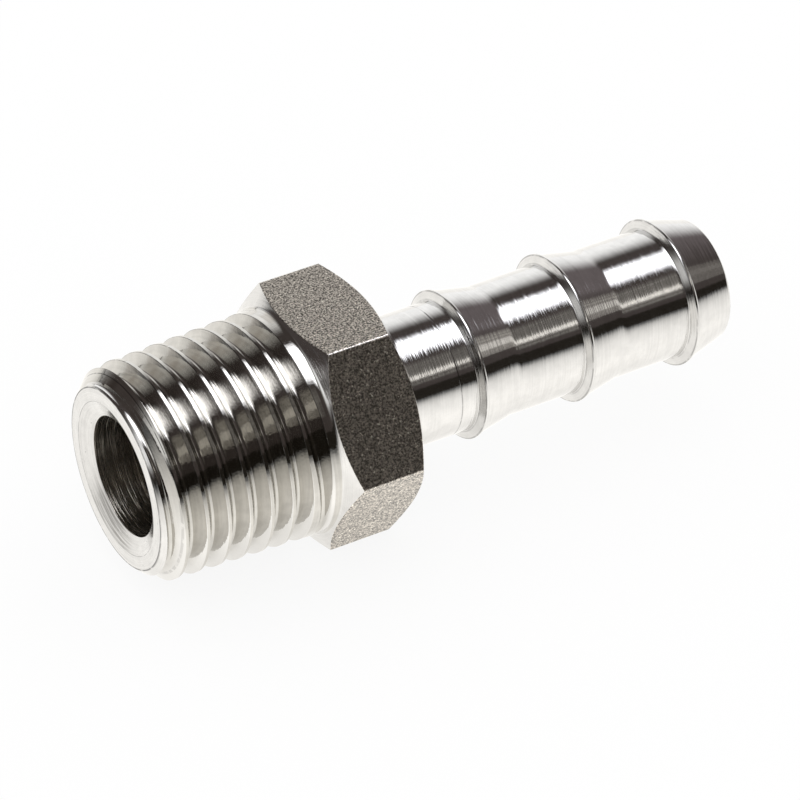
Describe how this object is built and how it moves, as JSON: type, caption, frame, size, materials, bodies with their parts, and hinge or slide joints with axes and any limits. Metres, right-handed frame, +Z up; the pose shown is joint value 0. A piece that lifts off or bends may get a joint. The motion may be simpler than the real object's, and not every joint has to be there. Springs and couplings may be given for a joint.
{
  "type": "hose tail hex adapter",
  "caption": "Stainless steel adapter fitting: taper male pipe thread, hexagon and ridged hose tail turned from one bar, with a stepped bore.",
  "frame": {"origin": "centre of the thread's flat end face, on the axis", "axes": "+X along the axis from the thread's end face to the tip of the hose tail, +Z up from the hexagon flat that the fitting rests on"},
  "size_m": [0.0391, 0.016, 0.014],
  "materials": {
    "stainless_steel": "bright turned, with rough drawn flats"
  },
  "bodies": {
    "root": {"adapter_body": "stainless_steel"}
  },
  "joints": []
}
